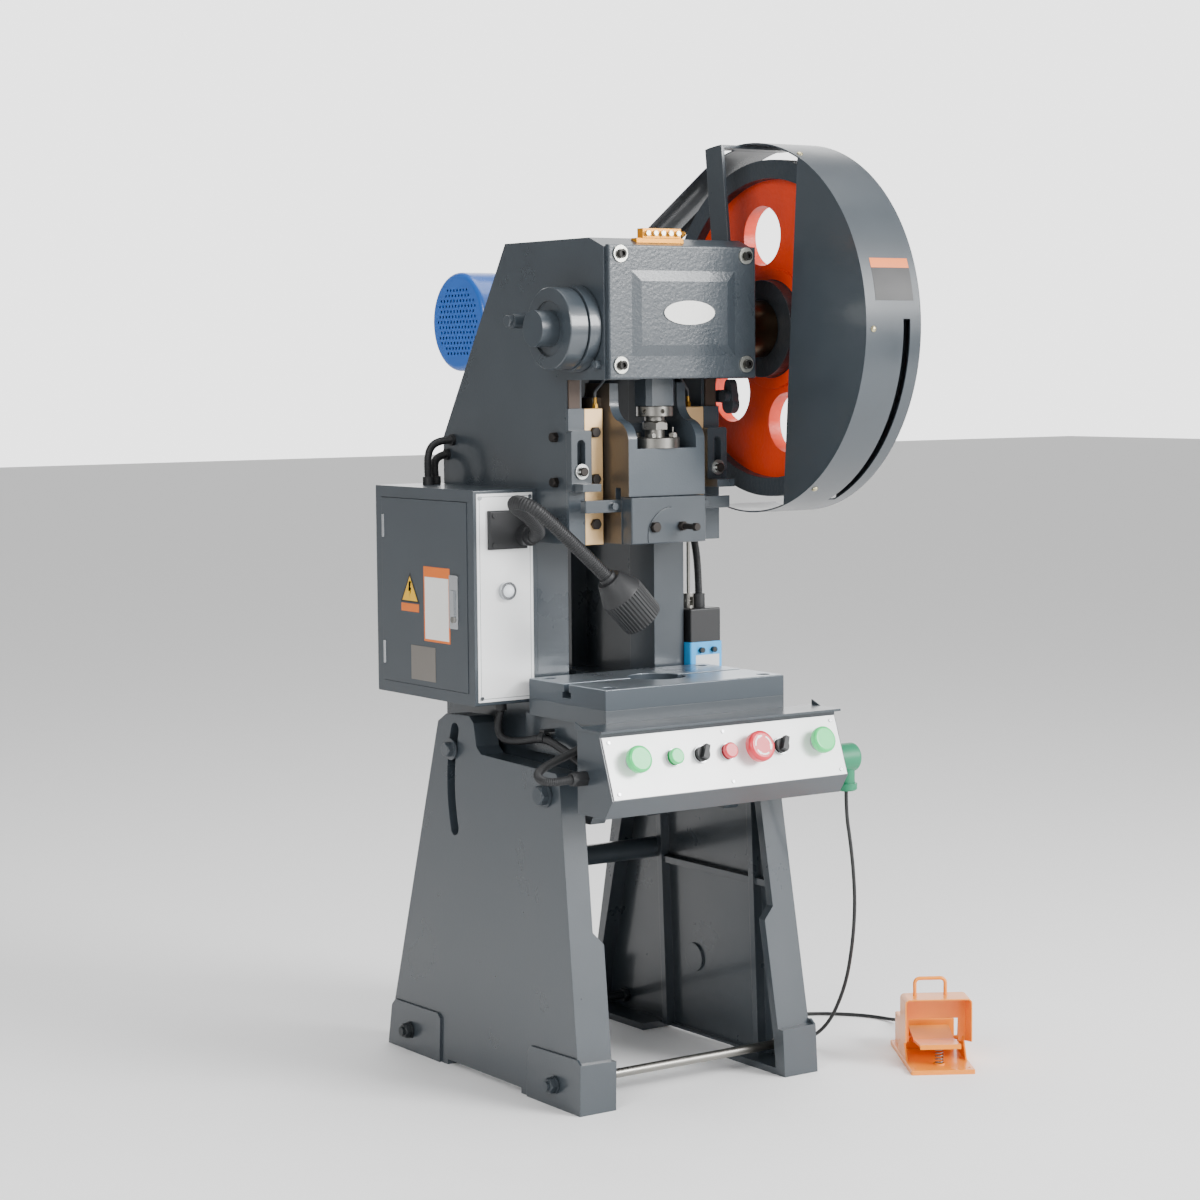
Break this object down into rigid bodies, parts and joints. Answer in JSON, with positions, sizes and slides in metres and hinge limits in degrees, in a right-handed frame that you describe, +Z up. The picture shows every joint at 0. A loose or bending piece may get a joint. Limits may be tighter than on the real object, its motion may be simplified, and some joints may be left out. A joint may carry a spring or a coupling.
{
  "type": "mechanical stamping press",
  "caption": "Open-back inclinable eccentric press: guarded flywheel, guided slide, bolster table, control console, electrical cabinet, work lamp and foot switch.",
  "frame": {"origin": "on the floor, straight under the axis of the die hole and slide", "axes": "+X to the operator's right towards the flywheel, +Y from the operator to the back of the press, +Z up"},
  "size_m": [0.9112, 0.88, 1.609],
  "materials": {
    "body_paint": "gloss machine enamel over cast iron",
    "scraped_steel": "ground and scraped plate",
    "dark_screws": "black oxide screws, light washers",
    "bronze": "machined bronze",
    "ground_steel": "turned steel",
    "wheel_paint": "orange-red enamel on cast iron, dark rim",
    "belt_rubber": "wrapped belt",
    "motor_paint": "blue enamel",
    "solenoid_plastic": "blue housing with a black cover",
    "panel_white": "white lacquered sheet",
    "lamp_plastic": "black nylon",
    "green_plastic": "gloss",
    "red_plastic": "gloss",
    "socket_plastic": "moulded",
    "oil_brass": "brass nipples with grey tubes",
    "lubricator_paint": "orange-yellow anodised",
    "pedal_paint": "orange powder coat",
    "cable_rubber": "black sheath"
  },
  "bodies": {
    "base": {"right_leg": "body_paint", "left_leg": "body_paint", "cross_tube": "body_paint", "tie_rods": "ground_steel", "pedal_base": "pedal_paint", "pedal_hood": "pedal_paint", "treadle_spring": "ground_steel", "pedal_cable": "cable_rubber"},
    "treadle": {"treadle": "pedal_paint"},
    "press": {"frame_casting": "body_paint", "slot_bolts": "body_paint", "bolster": "scraped_steel", "head_cover": "body_paint", "socket_screws": "dark_screws", "guide_rails": "body_paint", "gib_plates": "bronze", "guide_bolts": "dark_screws", "stop_brackets": "body_paint", "brake_band": "body_paint", "head_bolts": "dark_screws", "drive_belts": "belt_rubber", "motor": "motor_paint", "motor_bracket": "body_paint", "flywheel_guard": "body_paint", "guard_straps": "body_paint", "solenoid_box": "solenoid_plastic", "cabinet": "body_paint", "cabinet_panel": "panel_white", "lamp_base": "lamp_plastic", "gooseneck": "lamp_plastic", "lamp_head": "lamp_plastic", "control_box": "body_paint", "control_panel": "panel_white", "cable_socket": "socket_plastic", "conduits": "lamp_plastic", "conduit_glands": "lamp_plastic", "oil_pipes": "oil_brass", "lubricator": "lubricator_paint"},
    "crankset": {"crankshaft": "body_paint", "brake_drum": "body_paint"},
    "bush": {"eccentric_bush": "bronze"},
    "ram": {"connecting_rod": "body_paint", "adjusting_screw": "ground_steel", "screw_fittings": "ground_steel", "slide": "body_paint", "shank_clamp": "body_paint", "clamp_bolts": "dark_screws"},
    "knockout": {"knockout_bar": "body_paint"},
    "flywheel": {"flywheel": "wheel_paint"},
    "pulley": {"motor_pulley": "ground_steel"},
    "door": {"cabinet_door": "body_paint"},
    "trip": {"trip_lever": "body_paint"},
    "plunger": {"pull_rod": "ground_steel"},
    "left_palm": {"left_palm_button": "green_plastic"},
    "start": {"start_button": "green_plastic"},
    "mode": {"mode_selector": "lamp_plastic"},
    "stop": {"stop_button": "red_plastic"},
    "emergency": {"emergency_stop": "red_plastic"},
    "speed": {"speed_selector": "lamp_plastic"},
    "right_palm": {"right_palm_button": "green_plastic"}
  },
  "joints": [
    {"name": "frame_tilt", "type": "hinge", "parent": "base", "child": "press", "pos_m": [0, 0, 0.517], "axis": [-1, 0, 0], "range_deg": [0, 4.5]},
    {"name": "crank_spin", "type": "hinge", "parent": "press", "child": "crankset", "pos_m": [0, 0, 1.291], "axis": [1, 0, 0], "continuous": true},
    {"name": "bush_turn", "type": "hinge", "parent": "crankset", "child": "bush", "pos_m": [0, 0, 1.30225], "axis": [1, 0, 0], "continuous": true},
    {"name": "ram_level", "type": "hinge", "parent": "bush", "child": "ram", "pos_m": [0, 0, 1.3135], "axis": [1, 0, 0], "continuous": true},
    {"name": "knockout_lift", "type": "slide", "parent": "ram", "child": "knockout", "axis": [0, 0, 1], "range_m": [0, 0.0145]},
    {"name": "flywheel_spin", "type": "hinge", "parent": "press", "child": "flywheel", "pos_m": [0.27, 0, 1.291], "axis": [1, 0, 0], "continuous": true},
    {"name": "motor_spin", "type": "hinge", "parent": "press", "child": "pulley", "pos_m": [0.27, 0.473, 1.311], "axis": [1, 0, 0], "continuous": true},
    {"name": "door_swing", "type": "hinge", "parent": "press", "child": "door", "pos_m": [-0.283, 0.434, 0.84], "axis": [0, 0, -1], "range_deg": [0, 110]},
    {"name": "trip_swing", "type": "hinge", "parent": "press", "child": "trip", "pos_m": [0.17, 0.015, 1.175], "axis": [1, 0, 0], "range_deg": [-4, 0], "stiffness_Nm_per_rad": 20, "springref_deg": 5.16},
    {"name": "plunger_pull", "type": "slide", "parent": "press", "child": "plunger", "axis": [0, 0, 1], "range_m": [-0.0095, 0]},
    {"name": "left_palm_press", "type": "slide", "parent": "press", "child": "left_palm", "axis": [0, 0.9398, -0.3417], "range_m": [0, 0.006], "stiffness_N_per_m": 400, "springref_m": -0.004},
    {"name": "start_press", "type": "slide", "parent": "press", "child": "start", "axis": [0, 0.9398, -0.3417], "range_m": [0, 0.003], "stiffness_N_per_m": 300, "springref_m": -0.003},
    {"name": "stop_press", "type": "slide", "parent": "press", "child": "stop", "axis": [0, 0.9398, -0.3417], "range_m": [0, 0.003], "stiffness_N_per_m": 300, "springref_m": -0.003},
    {"name": "right_palm_press", "type": "slide", "parent": "press", "child": "right_palm", "axis": [0, 0.9398, -0.3417], "range_m": [0, 0.006], "stiffness_N_per_m": 400, "springref_m": -0.004},
    {"name": "emergency_push", "type": "slide", "parent": "press", "child": "emergency", "axis": [0, 0.9398, -0.3417], "range_m": [0, 0.005]},
    {"name": "mode_turn", "type": "hinge", "parent": "press", "child": "mode", "pos_m": [-0.055, -0.2039, 0.59344], "axis": [0, -0.9398, 0.3417], "range_deg": [-45, 45]},
    {"name": "speed_turn", "type": "hinge", "parent": "press", "child": "speed", "pos_m": [0.11, -0.2039, 0.59344], "axis": [0, -0.9398, 0.3417], "range_deg": [-45, 45]},
    {"name": "treadle_press", "type": "hinge", "parent": "base", "child": "treadle", "pos_m": [0.47593, -0.16312, 0.034], "axis": [0.8572, -0.515, 0], "range_deg": [0, 8], "stiffness_Nm_per_rad": 11, "springref_deg": -5.73, "deforming": ["treadle_spring"]}
  ],
  "couplings": [
    {"joint": "bush_turn", "follows": "crank_spin", "ratio": -2},
    {"joint": "ram_level", "follows": "crank_spin", "ratio": 1},
    {"joint": "motor_spin", "follows": "flywheel_spin", "ratio": 7},
    {"joint": "plunger_pull", "follows": "trip_swing", "m_per_rad": 0.135}
  ]
}
